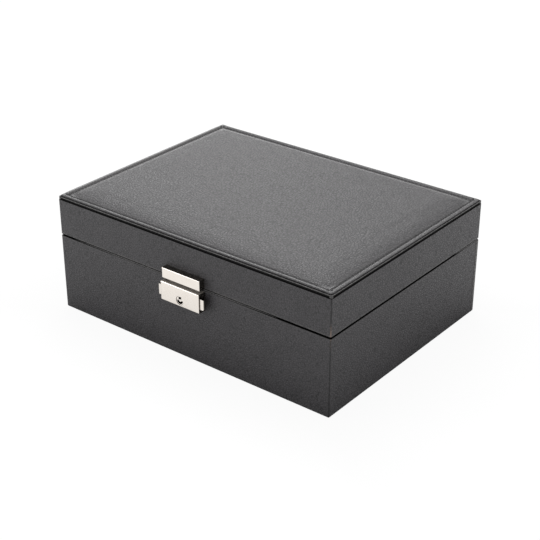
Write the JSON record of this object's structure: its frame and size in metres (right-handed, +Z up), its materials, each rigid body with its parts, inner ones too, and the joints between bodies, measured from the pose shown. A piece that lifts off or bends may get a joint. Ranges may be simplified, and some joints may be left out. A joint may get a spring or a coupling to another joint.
{
  "type": "travel jewellery box",
  "caption": "Travel jewellery box in black leatherette with a padded hinged lid, a nickel squeeze lock, a lift-out ring tray and lined bays below.",
  "frame": {"origin": "middle of the flat face that the box rests on", "axes": "+Z up, +X to the right as the lock is faced, +Y from the lock to the hinges"},
  "size_m": [0.24, 0.1921, 0.0924],
  "materials": {
    "black_leatherette": "fine pebble grain, satin",
    "fibreboard": "raw",
    "bottom_felt": "felt",
    "grey_velvet": "short velvet",
    "ribbon": "satin ribbon",
    "polished_nickel": "polished",
    "bright_steel": "bright",
    "mirror": "silvered"
  },
  "bodies": {
    "base": {"base_front_board": "fibreboard", "base_back_board": "fibreboard", "base_left_board": "fibreboard", "base_right_board": "fibreboard", "base_bottom_board": "fibreboard", "base_leather_wrap": "black_leatherette", "bottom_sheet": "bottom_felt", "base_floor_lining": "grey_velvet", "base_front_liner": "grey_velvet", "base_back_liner": "grey_velvet", "base_left_liner": "grey_velvet", "base_right_liner": "grey_velvet", "lower_long_divider": "grey_velvet", "lower_cross_dividers": "grey_velvet", "hinge_left_base_leaf": "polished_nickel", "hinge_right_base_leaf": "polished_nickel", "hinge_left_pin": "polished_nickel", "hinge_right_pin": "polished_nickel", "hinge_base_screws": "polished_nickel", "lock_case": "polished_nickel", "lock_back_plate": "bright_steel", "key_post": "polished_nickel", "lock_screws": "polished_nickel", "left_tab_spring": "bright_steel", "right_tab_spring": "bright_steel"},
    "lid": {"lid_front_board": "fibreboard", "lid_back_board": "fibreboard", "lid_left_board": "fibreboard", "lid_right_board": "fibreboard", "lid_top_board": "fibreboard", "lid_leather_wrap": "black_leatherette", "cover_board": "black_leatherette", "cover_pad": "black_leatherette", "lid_lining_panel": "grey_velvet", "mirror_glass": "mirror", "mirror_frame": "grey_velvet", "hinge_left_lid_leaf": "polished_nickel", "hinge_right_lid_leaf": "polished_nickel", "hinge_lid_screws": "polished_nickel", "hasp_plate": "polished_nickel", "hasp_tongue": "bright_steel", "hasp_screws": "polished_nickel"},
    "tray": {"tray_floor": "grey_velvet", "tray_front_wall": "grey_velvet", "tray_back_wall": "grey_velvet", "tray_left_wall": "grey_velvet", "tray_right_wall": "grey_velvet", "tray_left_divider": "grey_velvet", "tray_right_divider": "grey_velvet", "tray_ring_bay_divider": "grey_velvet", "tray_middle_front_divider": "grey_velvet", "tray_middle_back_divider": "grey_velvet", "ring_rolls": "grey_velvet", "tray_left_pull": "ribbon", "tray_right_pull": "ribbon"},
    "left_tab": {"left_tab": "polished_nickel"},
    "right_tab": {"right_tab": "polished_nickel"},
    "key_plug": {"key_plug": "polished_nickel"}
  },
  "joints": [
    {"name": "lid_hinge", "type": "hinge", "parent": "base", "child": "lid", "pos_m": [0, 0.0923, 0.0588], "axis": [-1, 0, 0], "range_deg": [0, 100]},
    {"name": "tray_lift", "type": "slide", "parent": "base", "child": "tray", "axis": [0, 0, 1], "range_m": [0, 0.0187]},
    {"name": "left_tab_press", "type": "slide", "parent": "base", "child": "left_tab", "axis": [1, 0, 0], "range_m": [0, 0.002], "stiffness_N_per_m": 500, "springref_m": -0.001, "deforming": ["left_tab_spring"]},
    {"name": "right_tab_press", "type": "slide", "parent": "base", "child": "right_tab", "axis": [-1, 0, 0], "range_m": [0, 0.002], "stiffness_N_per_m": 500, "springref_m": -0.001, "deforming": ["right_tab_spring"]},
    {"name": "key_turn", "type": "hinge", "parent": "base", "child": "key_plug", "pos_m": [0, -0.097, 0.0476], "axis": [0, -1, 0], "range_deg": [0, 90]}
  ]
}
